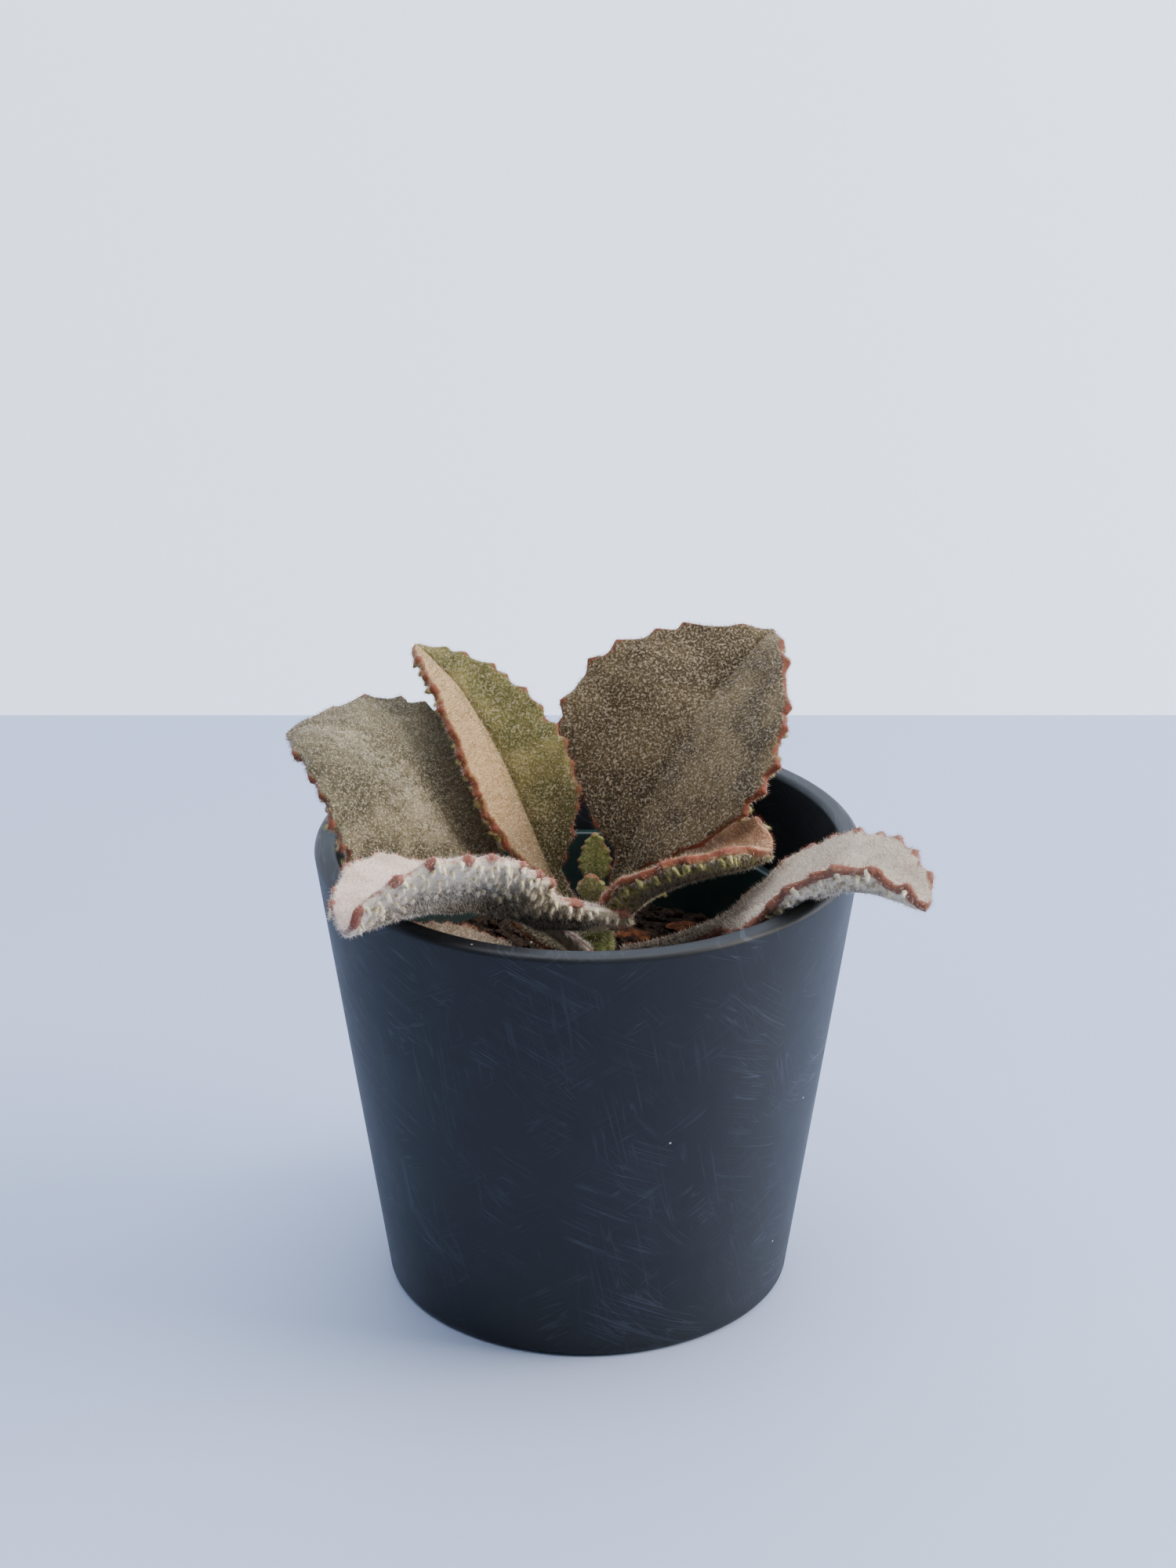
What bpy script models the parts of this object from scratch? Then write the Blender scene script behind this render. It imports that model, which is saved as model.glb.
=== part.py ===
"""A potted kalanchoe: a young felt-leaved plant in its nursery pot, standing in a cover pot.

Metres, +Z up. The origin is the middle of the cover pot's underside, and the front is -Y.
Every length below is in millimetres and every angle in degrees, and MM turns them into metres.
"""

import math

import bmesh
import bpy
from mathutils import Vector

MM = 0.001
GAP = 0.3  # clearance between two pieces that touch

# Cover pot: a thick matte pot with straight, slightly flaring sides and a closed base.
COVER_HEIGHT = 131.0
COVER_RIM_RADIUS = 75.0
COVER_BASE_RADIUS = 56.3
COVER_WALL = 6.0
COVER_FLOOR = 3.0
COVER_RIM_ROUNDING = 1.8
COVER_BASE_ROUNDING = 2.5

# Nursery pot: the thin plastic pot that the plant grows in, standing loose on the cover pot's floor.
NURSERY_TOP = 106.0
NURSERY_RIM_RADIUS = 61.8
NURSERY_MOUTH_RADIUS = 59.6
NURSERY_BASE_RADIUS = 46.0
NURSERY_WALL = 0.9
NURSERY_LIP_DROP = 5.0
DRAIN_HOLES = 8
DRAIN_HOLE_RADIUS = 4.0
DRAIN_RING_RADIUS = 34.0

# Potting soil, slightly heaped round the stem.
SOIL_EDGE = 86.5
SOIL_CROWN = 88.5

# Stem: a straight young stem with a swollen joint at each pair of leaves.
STEM_X = 2.0
STEM_RADIUS = 5.0
STEM_BOTTOM = 70.0
STEM_TOP = 111.5
STEM_JOINTS = (98.5, 104.5)
JOINT_SWELLING = 0.5

# Leaves: thick felted blades on short petioles, with blunt teeth along both margins.
LEAF_THICKNESS = 2.6
BUD_LEAF_THICKNESS = 1.6
BUD_LEAF_SPREAD = 2.2  # from the stem's axis to the foot of each bud leaf
PETIOLE_CLEARANCE = 1.7  # from the stem's side to the petiole's underside
TIP_HALF_WIDTH = 1.0
TOOTH_SPACING = 9.0
TOOTH_HEIGHT = 1.4
FULL_TEETH_WIDTH = 12.0  # a half at least this wide has teeth of the full height
FOOT_SHARE = 0.11  # how soon the blade widens above its foot, as a share of its length
FOOT_POWER = 1.3  # more makes the blade's foot squarer
TIP_TAPER = 16.0  # the leaf thins over this length towards its tip
THIN_SHARE = 0.35  # thickness of the tip and of a lobe's foot as a share of the full thickness
FOLD_FROM = 9.0  # where a half is narrower than this, it folds less
LOBE_SHARE = 0.13  # how soon a lobe dies away above the foot, as a share of the blade's length
LOBE_START = -3.5  # where a lobe starts to leave the petiole, from the blade's foot
LOBE_FULL = 2.0  # where it has its full reach
LOBE_FAN = math.radians(62)  # how far the rows at the foot of a lobed blade turn back
FULL_FAN_LOBE = 12.0  # a lobe at least this long turns back fully
THIN_FOOT_MIDDLE = 4.0  # a long lobe's foot is thin round this place
THIN_FOOT_NEAR = 8.0  # and thin this far to both sides of it
THIN_FOOT_FAR = 16.0  # and back to the full thickness this far away
BLADE_ROWS = 36
BLADE_COLUMNS = 8
FOLD_STEPS = 6

# One row a leaf. height: where it leaves the stem. petiole, blade: lengths. left, right: half
# widths of the blade's two halves. widest: 1 puts the widest place halfway, less moves it to the
# base. fullness: less is a fuller outline. heading: compass angle at the base and the tip.
# rise: angle above level at the base, the middle and the tip. roll: turn about the midrib at the
# base and the tip. left_fold, right_fold: how far each half is folded up, at the base and the
# tip. curl: further bending of the left and right halves towards their margins. lobes: how far
# the foot of the left and right halves reaches back beside the petiole. stalk: half width of the
# petiole.
LEAVES = {
    "leaf_back_left": dict(
        height=99, petiole=26, blade=81, left=38.5, right=26.5, widest=1.07, fullness=0.79,
        heading=(186, 167), rise=(22, 59, -34), roll=(17, 3), stalk=4,
        left_fold=(-30, 1), right_fold=(23, -7), curl=(-10, -4), lobes=(4, 4),
    ),
    "leaf_upright": dict(
        height=106, petiole=9.5, blade=78.5, left=22, right=18, widest=0.82, fullness=0.7,
        heading=(152, 140), rise=(58, 59, 19), roll=(16, -2), stalk=3.6,
        left_fold=(24, 24), right_fold=(46, 18), curl=(-3, 1), lobes=(2, 0),
    ),
    "leaf_back_right": dict(
        height=103, petiole=16, blade=81.5, left=35, right=35.5, widest=0.9, fullness=0.88,
        heading=(36, 46), rise=(86, 49, 22), roll=(-9, -5), stalk=4.3,
        left_fold=(23, 20), right_fold=(2, 20), curl=(3, -1), lobes=(0, 3),
    ),
    "leaf_front_left": dict(
        height=100, petiole=24.5, blade=78, left=23, right=28, widest=1.12, fullness=0.62,
        heading=(238, 220), rise=(43, 25, -7), roll=(0, -7), stalk=4.2,
        left_fold=(13, 59), right_fold=(12, 12), curl=(10, 4), lobes=(30, 6),
    ),
    "leaf_inner_right": dict(
        height=108, petiole=4, blade=49, left=23, right=28, widest=0.76, fullness=0.42,
        heading=(-25, -23), rise=(62, 26, 33), roll=(3, -1), stalk=3,
        left_fold=(-5, 36), right_fold=(15, 34), curl=(-3, -4), lobes=(2, 3),
    ),
    "leaf_front_right": dict(
        height=97, petiole=36.5, blade=73, left=23.5, right=13, widest=0.88, fullness=0.65,
        heading=(-31, -41), rise=(19, 33, -12), roll=(-15, 8), stalk=4.2,
        left_fold=(14, 30), right_fold=(-36, 82), curl=(-5, -16), lobes=(2, 1),
    ),
    "leaf_old_low": dict(
        height=91.5, petiole=8, blade=50, left=12, right=10, widest=0.85, fullness=0.6,
        heading=(212, 192), rise=(12, 28, 0), roll=(0, 0), stalk=3.2,
        left_fold=(20, 10), right_fold=(20, 10), curl=(0, 0), lobes=(3, 3),
    ),
    "bud_leaf_back": dict(
        height=112.8, petiole=3, blade=15, left=4.2, right=4.2, widest=0.8, fullness=0.7,
        heading=(90, 90), rise=(75, 85, 95), roll=(0, 0), stalk=1.6,
        left_fold=(25, 10), right_fold=(25, 10), curl=(0, 0), lobes=(1, 1),
    ),
    "bud_leaf_front": dict(
        height=113, petiole=2, blade=11, left=4, right=4, widest=0.8, fullness=0.6,
        heading=(262, 262), rise=(30, 60, 85), roll=(0, 0), stalk=1.6,
        left_fold=(35, 25), right_fold=(35, 25), curl=(0, 0), lobes=(1, 1),
    ),
}
BUD_LEAVES = ("bud_leaf_back", "bud_leaf_front")

# Bark chips lying on the soil: distance from the middle, compass angle, length, width, turn.
CHIP_THICKNESS = 2.4
BARK_CHIPS = (
    (30, 66, 11, 6, 20),
    (36, 84, 8, 5, 75),
    (27, 108, 9, 6, 130),
    (44, 52, 10, 5, 160),
    (48, 18, 9, 6, 40),
    (42, -12, 8, 5, 100),
    (24, -72, 9, 5, 10),
    (46, 140, 10, 6, 60),
    (33, 168, 8, 5, 145),
)


def clear_scene():
    for item in list(bpy.data.objects):
        bpy.data.objects.remove(item)


def new_collection(name, hidden=False):
    group = bpy.data.collections.new(name)
    group.hide_render = hidden
    bpy.context.scene.collection.children.link(group)
    return group


def principled(name, colour, roughness):
    """A plain Principled material; colour is linear red, green and blue."""
    material = bpy.data.materials.new(name)
    material.use_nodes = True
    shader = material.node_tree.nodes["Principled BSDF"]
    shader.inputs["Base Color"].default_value = (*colour, 1)
    shader.inputs["Roughness"].default_value = roughness
    material.diffuse_color = (*colour, 1)
    return material


def add_object(name, mesh, group, material):
    item = bpy.data.objects.new(name, mesh)
    item.data.materials.append(material)
    group.objects.link(item)
    return item


def turned(name, outline, group, material, steps=64):
    """Turns an outline of (radius, height) about Z; it runs down the outer side."""
    mesh = bpy.data.meshes.new(name)
    points = [(radius * MM, 0, height * MM) for radius, height in outline]
    edges = [(i, i + 1) for i in range(len(points) - 1)]
    mesh.from_pydata(points, edges, [])
    item = add_object(name, mesh, group, material)
    screw = item.modifiers.new("Turn", "SCREW")
    screw.steps = steps
    screw.render_steps = steps
    screw.use_merge_vertices = True
    screw.merge_threshold = 1e-6
    return item


def arc(centre_radius, centre_height, radius, start, end, steps=4):
    """Points on a rounded edge of a turned outline, from one angle to another."""
    angles = [math.radians(start + (end - start) * i / steps) for i in range(steps + 1)]
    return [
        (centre_radius + radius * math.cos(a), centre_height + radius * math.sin(a))
        for a in angles
    ]


def cover_outer_radius(height):
    return COVER_BASE_RADIUS + (COVER_RIM_RADIUS - COVER_BASE_RADIUS) * height / COVER_HEIGHT


def nursery_outer_radius(height):
    rise = (height - COVER_FLOOR) / (NURSERY_TOP - COVER_FLOOR)
    return NURSERY_BASE_RADIUS + (NURSERY_MOUTH_RADIUS - NURSERY_BASE_RADIUS) * rise


def add_cover_pot(group, material):
    rounding = COVER_RIM_ROUNDING
    inner_rim = COVER_RIM_RADIUS - COVER_WALL
    inner_floor = cover_outer_radius(COVER_FLOOR) - COVER_WALL
    base = COVER_BASE_ROUNDING
    outline = [(0, COVER_FLOOR), (inner_floor, COVER_FLOOR)]
    outline += arc(inner_rim + rounding, COVER_HEIGHT - rounding, rounding, 180, 90)
    outline += arc(COVER_RIM_RADIUS - rounding, COVER_HEIGHT - rounding, rounding, 90, 0)
    outline += arc(cover_outer_radius(base) - base, base, base, 0, -90)
    outline += [(0, 0)]
    return turned("cover_pot", outline, group, material, steps=72)


def add_drain_cutters(group, material):
    """Upright pegs in a ring, which punch the drain holes through the nursery pot's floor."""
    tool = bmesh.new()
    for i in range(DRAIN_HOLES):
        angle = math.radians(360 * i / DRAIN_HOLES)
        place = Vector((math.cos(angle), math.sin(angle), 0)) * DRAIN_RING_RADIUS * MM
        place.z = (COVER_FLOOR + NURSERY_WALL) * MM
        made = bmesh.ops.create_cone(
            tool, cap_ends=True, segments=16, depth=8 * MM,
            radius1=DRAIN_HOLE_RADIUS * MM, radius2=DRAIN_HOLE_RADIUS * MM,
        )
        bmesh.ops.translate(tool, verts=made["verts"], vec=place)
    mesh = bpy.data.meshes.new("drain_hole_cutters")
    tool.to_mesh(mesh)
    tool.free()
    return add_cutter("drain_hole_cutters", mesh, group, material)


def add_cutter(name, mesh, group, material):
    item = add_object(name, mesh, group, material)
    item.hide_render = True
    item.display_type = "WIRE"
    return item


def cut(item, cutter):
    boolean = item.modifiers.new("Cut " + cutter.name, "BOOLEAN")
    boolean.operation = "DIFFERENCE"
    boolean.solver = "EXACT"
    boolean.object = cutter


def add_nursery_pot(group, cutters, material):
    bottom = COVER_FLOOR + GAP
    floor_top = bottom + NURSERY_WALL
    lip_bottom = NURSERY_TOP - NURSERY_LIP_DROP
    outline = [
        (0, floor_top),
        (nursery_outer_radius(floor_top) - NURSERY_WALL, floor_top),
        (NURSERY_MOUTH_RADIUS - NURSERY_WALL, NURSERY_TOP - 0.4),
        (NURSERY_MOUTH_RADIUS - NURSERY_WALL + 0.4, NURSERY_TOP),
        (NURSERY_RIM_RADIUS - 0.4, NURSERY_TOP),
        (NURSERY_RIM_RADIUS, NURSERY_TOP - 0.4),
        (NURSERY_RIM_RADIUS, lip_bottom),
        (NURSERY_RIM_RADIUS - NURSERY_WALL, lip_bottom),
        (NURSERY_RIM_RADIUS - NURSERY_WALL, NURSERY_TOP - NURSERY_WALL),
        (nursery_outer_radius(NURSERY_TOP - NURSERY_WALL), NURSERY_TOP - NURSERY_WALL),
        (nursery_outer_radius(bottom), bottom),
        (0, bottom),
    ]
    item = turned("nursery_pot", outline, group, material)
    cut(item, add_drain_cutters(cutters, material))
    return item


def soil_height(radius):
    """The soil's surface falls gently from the stem to the nursery pot's wall."""
    edge = nursery_outer_radius(SOIL_EDGE)
    return SOIL_CROWN - (SOIL_CROWN - SOIL_EDGE) * (radius / edge) ** 2


def add_soil(group, cutters, material):
    bottom = COVER_FLOOR + GAP + NURSERY_WALL + GAP
    inset = NURSERY_WALL + GAP
    outline = [(radius, soil_height(radius)) for radius in (0, 12, 24, 36, 48)]
    outline += [
        (nursery_outer_radius(SOIL_EDGE) - inset, SOIL_EDGE),
        (nursery_outer_radius(bottom) - inset, bottom),
        (0, bottom),
    ]
    item = turned("potting_soil", outline, group, material, steps=48)
    tool = bmesh.new()
    depth = 40.0
    bmesh.ops.create_cone(
        tool, cap_ends=True, segments=24, depth=depth * MM,
        radius1=(STEM_RADIUS + GAP) * MM, radius2=(STEM_RADIUS + GAP) * MM,
    )
    centre = Vector((STEM_X, 0, STEM_BOTTOM - GAP + depth / 2)) * MM
    bmesh.ops.translate(tool, verts=tool.verts[:], vec=centre)
    mesh = bpy.data.meshes.new("stem_hole_cutter")
    tool.to_mesh(mesh)
    tool.free()
    cut(item, add_cutter("stem_hole_cutter", mesh, cutters, material))
    return item


def add_stem(group, material):
    outline = [(0, STEM_TOP), (STEM_RADIUS - 1.2, STEM_TOP), (STEM_RADIUS - 0.5, STEM_TOP - 1)]
    for joint in sorted(STEM_JOINTS, reverse=True):
        outline += [
            (STEM_RADIUS - 0.5, joint + 2),
            (STEM_RADIUS - 0.5 + JOINT_SWELLING, joint),
            (STEM_RADIUS - 0.5, joint - 2),
        ]
    outline += [(STEM_RADIUS, SOIL_CROWN), (STEM_RADIUS, STEM_BOTTOM), (0, STEM_BOTTOM)]
    item = turned("stem", outline, group, material, steps=24)
    item.location.x = STEM_X * MM
    return item


def through_three(first, middle, last, along):
    """A smooth value that is first at 0, middle at one half and last at 1."""
    return (
        first * (1 - along) * (1 - 2 * along)
        + middle * 4 * along * (1 - along)
        + last * along * (2 * along - 1)
    )


def smooth_ramp(value, low, high):
    """0 at low, 1 at high, and an S-curve between; high may be the smaller one."""
    share = min(1, max(0, (value - low) / (high - low)))
    return share * share * (3 - 2 * share)


def row_shape(leaf, along, side_width, lobe):
    """Half width of one side of a row, its backward turn, and its place on the blade, 0 to 1."""
    blade_mm = along * (leaf["petiole"] + leaf["blade"]) - leaf["petiole"]
    blade = min(1, max(0, blade_mm / leaf["blade"]))
    swell = max(0, math.sin(math.pi * blade ** leaf["widest"])) ** leaf["fullness"]
    swell *= 1 - math.exp(-((blade / FOOT_SHARE) ** FOOT_POWER))
    foot = math.exp(-((blade / LOBE_SHARE) ** 2)) * smooth_ramp(blade_mm, LOBE_START, LOBE_FULL)
    tooth = TOOTH_HEIGHT * abs(math.sin(math.pi * blade * leaf["blade"] / TOOTH_SPACING))
    tooth *= min(1, 4 * swell) * min(1, side_width / FULL_TEETH_WIDTH)
    stalk = leaf["stalk"] * (1 - blade) + TIP_HALF_WIDTH * blade
    width = math.hypot(side_width * swell + lobe * foot, stalk) + tooth
    return width, foot * min(1, lobe / FULL_FAN_LOBE), blade


def leaf_frames(leaf, start, rows):
    """Midrib places with their forward, upward and leftward directions, from base to tip."""
    length = leaf["petiole"] + leaf["blade"]
    fine = 4
    place = Vector(start)
    frames = []
    for i in range(rows * fine + 1):
        along = i / (rows * fine)
        heading = math.radians(leaf["heading"][0] * (1 - along) + leaf["heading"][1] * along)
        rise = math.radians(through_three(*leaf["rise"], along))
        roll = math.radians(leaf["roll"][0] * (1 - along) + leaf["roll"][1] * along)
        level = Vector((math.cos(heading), math.sin(heading), 0))
        forward = level * math.cos(rise) + Vector((0, 0, math.sin(rise)))
        flat_up = Vector((0, 0, math.cos(rise))) - level * math.sin(rise)
        flat_left = flat_up.cross(forward)
        upward = flat_up * math.cos(roll) + flat_left * math.sin(roll)
        leftward = flat_left * math.cos(roll) - flat_up * math.sin(roll)
        if i:
            place = place + (forward + last_forward) / 2 * length / (rows * fine)
        last_forward = forward
        if i % fine == 0:
            frames.append((along, place, forward, upward, leftward))
    return frames


def leaf_point(leaf, frame, across):
    """A point of the leaf's sheet; across runs from -1, the right margin, to 1, the left."""
    along, place, forward, upward, leftward = frame
    side = 1 if across >= 0 else -1
    name = "left" if side > 0 else "right"
    which = 0 if side > 0 else 1
    width, turned_back, blade = row_shape(leaf, along, leaf[name], leaf["lobes"][which])
    fold = leaf[name + "_fold"]
    base_fold = fold[0] + (fold[1] - fold[0]) * blade
    share = abs(across)
    flattened = min(1, width / FOLD_FROM)
    reach = 0
    lift = 0
    for i in range(FOLD_STEPS):
        angle = base_fold + leaf["curl"][which] * (i + 0.5) / FOLD_STEPS * share
        angle = angle * flattened
        reach += math.cos(math.radians(angle)) * width * share / FOLD_STEPS
        lift += math.sin(math.radians(angle)) * width * share / FOLD_STEPS
    fan = LOBE_FAN * turned_back
    sideways = reach * math.cos(fan) * (1 + turned_back * (1 - share))
    back = reach * math.sin(fan) * share
    return place + leftward * side * sideways + upward * lift - forward * back


def thickness_share(leaf, along):
    """0 where the leaf is thinnest, 1 where it has its full thickness: thin tip and lobe foot."""
    length = leaf["petiole"] + leaf["blade"]
    tip = smooth_ramp((1 - along) * length, 0, TIP_TAPER)
    if max(leaf["lobes"]) <= FULL_FAN_LOBE:
        return tip
    from_foot = abs(along * length - leaf["petiole"] - THIN_FOOT_MIDDLE)
    return min(tip, 1 - smooth_ramp(from_foot, THIN_FOOT_FAR, THIN_FOOT_NEAR))


def add_leaf(name, leaf, group, material):
    """A grid of faces bent to the leaf's sheet and thickened to both sides."""
    heading = math.radians(leaf["heading"][0])
    in_bud = name in BUD_LEAVES
    thickness = BUD_LEAF_THICKNESS if in_bud else LEAF_THICKNESS
    out = BUD_LEAF_SPREAD if in_bud else STEM_RADIUS + PETIOLE_CLEARANCE + thickness / 2
    start = (STEM_X + out * math.cos(heading), out * math.sin(heading), leaf["height"])
    frames = leaf_frames(leaf, start, BLADE_ROWS)
    sheet = bmesh.new()
    bmesh.ops.create_grid(sheet, x_segments=BLADE_ROWS, y_segments=BLADE_COLUMNS, size=1)
    shares = []
    for vertex in sheet.verts:
        row = round((vertex.co.x + 1) / 2 * BLADE_ROWS)
        shares.append(thickness_share(leaf, row / BLADE_ROWS))
        vertex.co = leaf_point(leaf, frames[row], vertex.co.y) * MM
    mesh = bpy.data.meshes.new(name)
    sheet.to_mesh(mesh)
    sheet.free()
    item = add_object(name, mesh, group, material)
    weights = item.vertex_groups.new(name="thickness")
    for index, share in enumerate(shares):
        weights.add([index], share, "REPLACE")
    thicken = item.modifiers.new("Thickness", "SOLIDIFY")
    thicken.thickness = thickness * MM
    thicken.offset = 0
    thicken.vertex_group = "thickness"
    thicken.thickness_vertex_group = THIN_SHARE
    return item


def add_bark_chip(number, chip, group, material):
    """A flat chip with bevelled edges, lying level just above the soil."""
    distance, angle, length, width, turn = chip
    block = bmesh.new()
    bmesh.ops.create_cube(block, size=1)
    bmesh.ops.scale(block, verts=block.verts[:], vec=Vector((length, width, CHIP_THICKNESS)) * MM)
    mesh = bpy.data.meshes.new(f"bark_chip_{number}")
    block.to_mesh(mesh)
    block.free()
    item = add_object(mesh.name, mesh, group, material)
    angle = math.radians(angle)
    nearest = max(0, distance - length / 2)
    height = soil_height(nearest) + GAP + CHIP_THICKNESS / 2
    item.location = Vector((distance * math.cos(angle), distance * math.sin(angle), height)) * MM
    item.rotation_euler.z = math.radians(turn)
    bevel = item.modifiers.new("Worn edges", "BEVEL")
    bevel.width = 0.7 * MM
    bevel.segments = 1
    return item


def build():
    clear_scene()
    parts = new_collection("potted_kalanchoe")
    cutters = new_collection("cutters", hidden=True)
    slate = principled("cover_plastic", (0.045, 0.050, 0.058), 0.62)
    teal = principled("nursery_plastic", (0.012, 0.028, 0.028), 0.5)
    earth = principled("soil", (0.018, 0.013, 0.010), 0.95)
    bark = principled("bark", (0.20, 0.085, 0.035), 0.9)
    green = principled("stem_skin", (0.24, 0.25, 0.13), 0.8)
    felt = principled("leaf_felt", (0.36, 0.30, 0.22), 0.9)
    add_cover_pot(parts, slate)
    add_nursery_pot(parts, cutters, teal)
    add_soil(parts, cutters, earth)
    add_stem(parts, green)
    for name, leaf in LEAVES.items():
        add_leaf(name, leaf, parts, felt)
    for number, chip in enumerate(BARK_CHIPS, start=1):
        add_bark_chip(number, chip, parts, bark)


build()
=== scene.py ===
# %% [markdown]
# # A potted kalanchoe
# A young felt-leaved kalanchoe stands in its thin nursery pot inside a dark, matte cover pot. Its
# velvety leaves are what makes it hard: they are thick, folded, toothed, warty underneath and
# covered in short hair. This notebook loads the solid model as a fixed frame, then dresses it.
# Lengths are in millimetres and are turned into metres where a mesh is made.

# %% Load the frame
import math

import bpy
import numpy as np
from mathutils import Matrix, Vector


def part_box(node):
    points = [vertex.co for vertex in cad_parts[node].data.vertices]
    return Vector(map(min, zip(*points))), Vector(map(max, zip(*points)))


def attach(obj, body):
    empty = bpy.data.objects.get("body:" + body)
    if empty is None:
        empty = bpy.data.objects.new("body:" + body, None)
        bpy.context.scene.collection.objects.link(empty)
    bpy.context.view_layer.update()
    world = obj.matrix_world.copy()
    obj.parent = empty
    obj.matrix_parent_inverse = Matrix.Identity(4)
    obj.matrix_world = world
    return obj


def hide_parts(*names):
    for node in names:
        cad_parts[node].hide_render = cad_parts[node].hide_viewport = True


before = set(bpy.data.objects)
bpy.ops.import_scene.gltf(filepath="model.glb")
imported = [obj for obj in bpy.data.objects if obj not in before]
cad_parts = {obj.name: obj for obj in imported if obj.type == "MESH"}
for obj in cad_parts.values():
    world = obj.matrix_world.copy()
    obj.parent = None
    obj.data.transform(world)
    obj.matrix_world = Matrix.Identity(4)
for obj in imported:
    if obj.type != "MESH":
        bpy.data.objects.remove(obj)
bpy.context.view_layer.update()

MM = 0.001

# %% [markdown]
# ## Camera
# The view looks down on the pot's rim from a little over a metre away, about 24 degrees below
# level, with a long lens so that the pot's sides stay nearly straight.

# %% Camera
VIEW_AIM = (0, 0, 147.25)
VIEW_DISTANCE = 1111.6
VIEW_PITCH = math.radians(23.7)

camera_data = bpy.data.cameras.new("studio_camera")
camera_data.sensor_width = 36
camera_data.lens = 93.6
camera = bpy.data.objects.new("studio_camera", camera_data)
camera.location = (
    0,
    -VIEW_DISTANCE * math.cos(VIEW_PITCH) * MM,
    (VIEW_AIM[2] + VIEW_DISTANCE * math.sin(VIEW_PITCH)) * MM,
)
camera.rotation_euler = (math.radians(90) - VIEW_PITCH, 0, 0)
bpy.context.scene.collection.objects.link(camera)
bpy.context.scene.camera = camera
print("camera at", [round(c, 3) for c in camera.location])

# %% [markdown]
# ## Small helpers
# Colours are picked as sRGB hex values, as in any paint program, but shaders work in linear
# light. A single function turns one into the other. Another adds a shader node with its settings
# and links in one line, so that each material below reads like a recipe.


# %% Colour and node helpers
def linear(hex_colour):
    """An sRGB hex colour such as 'c8b090' as linear red, green, blue and alpha."""
    channels = [int(hex_colour[i : i + 2], 16) / 255 for i in (0, 2, 4)]
    return tuple(
        c / 12.92 if c <= 0.04045 else ((c + 0.055) / 1.055) ** 2.4 for c in channels
    ) + (1.0,)


def add_node(material, kind, inputs=None, **settings):
    """Adds a node; inputs maps a socket's name or number to a value or to another socket."""
    node = material.node_tree.nodes.new("ShaderNode" + kind)
    for name, value in settings.items():
        setattr(node, name, value)
    for name, value in (inputs or {}).items():
        if isinstance(value, bpy.types.NodeSocket):
            material.node_tree.links.new(value, node.inputs[name])
        else:
            node.inputs[name].default_value = value
    return node


def new_finish(name, colour, roughness, specular=0.5, ior=1.5, sheen=0.0):
    """A Principled material with its plain values set on the shader's own sockets."""
    material = bpy.data.materials.new(name)
    material.use_nodes = True
    shader = material.node_tree.nodes["Principled BSDF"]
    shader.inputs["Base Color"].default_value = linear(colour)
    shader.inputs["Roughness"].default_value = roughness
    shader.inputs["Specular IOR Level"].default_value = specular
    shader.inputs["IOR"].default_value = ior
    shader.inputs["Sheen Weight"].default_value = sheen
    shader.inputs["Sheen Roughness"].default_value = 0.5
    return material, shader


def link(material, output, socket):
    material.node_tree.links.new(output, socket)


def pattern_scale(size_mm):
    """Noise scale, in repeats a metre, that gives blobs of about this size."""
    return 1 / (size_mm * MM)


def mask(material, value, low, high):
    """0 below low, 1 above high, and smooth between; high may be the smaller one."""
    ranged = add_node(
        material, "MapRange", {"Value": value, "From Min": low, "From Max": high},
        interpolation_type="SMOOTHSTEP",
    )
    return ranged.outputs["Result"]


def mix(material, factor, first, second, blend="MIX"):
    """Mixes two colours, given as hex strings or sockets."""
    first = linear(first) if isinstance(first, str) else first
    second = linear(second) if isinstance(second, str) else second
    mixer = add_node(
        material, "Mix", {0: factor, 6: first, 7: second}, data_type="RGBA", blend_type=blend
    )
    return mixer.outputs[2]


def calculate(material, operation, first, second=0.0):
    made = add_node(material, "Math", {0: first, 1: second}, operation=operation)
    return made.outputs[0]


# %% [markdown]
# ## Studio
# The pot stands on a pale blue-grey table top in front of a pale wall. The wall glows a little and
# is clear from behind, so that it doesn't hide the pot from the far side. A soft light on the
# right, like a window, models the leaves, a long panel overhead lights the table, and a weak one
# in front opens the shade. The world adds a faint, even fill.

# %% Floor, wall and lights
WALL_DISTANCE = 400.0  # from the pot's axis to the wall behind it
WALL_HEIGHT = 2500.0
WALL_GLOW = 1.25
ROOM_HALF_WIDTH = 3000.0


def add_stage(name, corners, colour, roughness, glow=0.0, one_sided=False):
    """A painted plane. A one-sided plane is clear when it is seen from its back."""
    mesh = bpy.data.meshes.new(name)
    mesh.from_pydata([[c * MM for c in corner] for corner in corners], [], [(0, 1, 2, 3)])
    material, shader = new_finish(name + "_paint", colour, roughness, specular=0.3)
    place = add_node(material, "TexCoord").outputs["Object"]
    blotches = add_node(
        material, "TexNoise", {"Vector": place, "Scale": pattern_scale(450), "Detail": 3}
    )
    shade = mask(material, blotches.outputs["Fac"], 0.3, 0.7)
    lighter = mix(material, 0.06, colour, "ffffff")
    link(material, mix(material, shade, colour, lighter), shader.inputs["Base Color"])
    shader.inputs["Emission Color"].default_value = linear(colour)
    shader.inputs["Emission Strength"].default_value = glow
    if one_sided:
        behind = add_node(material, "NewGeometry").outputs["Backfacing"]
        clear = add_node(material, "BsdfTransparent").outputs["BSDF"]
        shown = add_node(material, "MixShader", {0: behind, 1: shader.outputs["BSDF"], 2: clear})
        surface = material.node_tree.nodes["Material Output"].inputs["Surface"]
        link(material, shown.outputs["Shader"], surface)
    mesh.materials.append(material)
    item = bpy.data.objects.new(name, mesh)
    bpy.context.scene.collection.objects.link(item)


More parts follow.
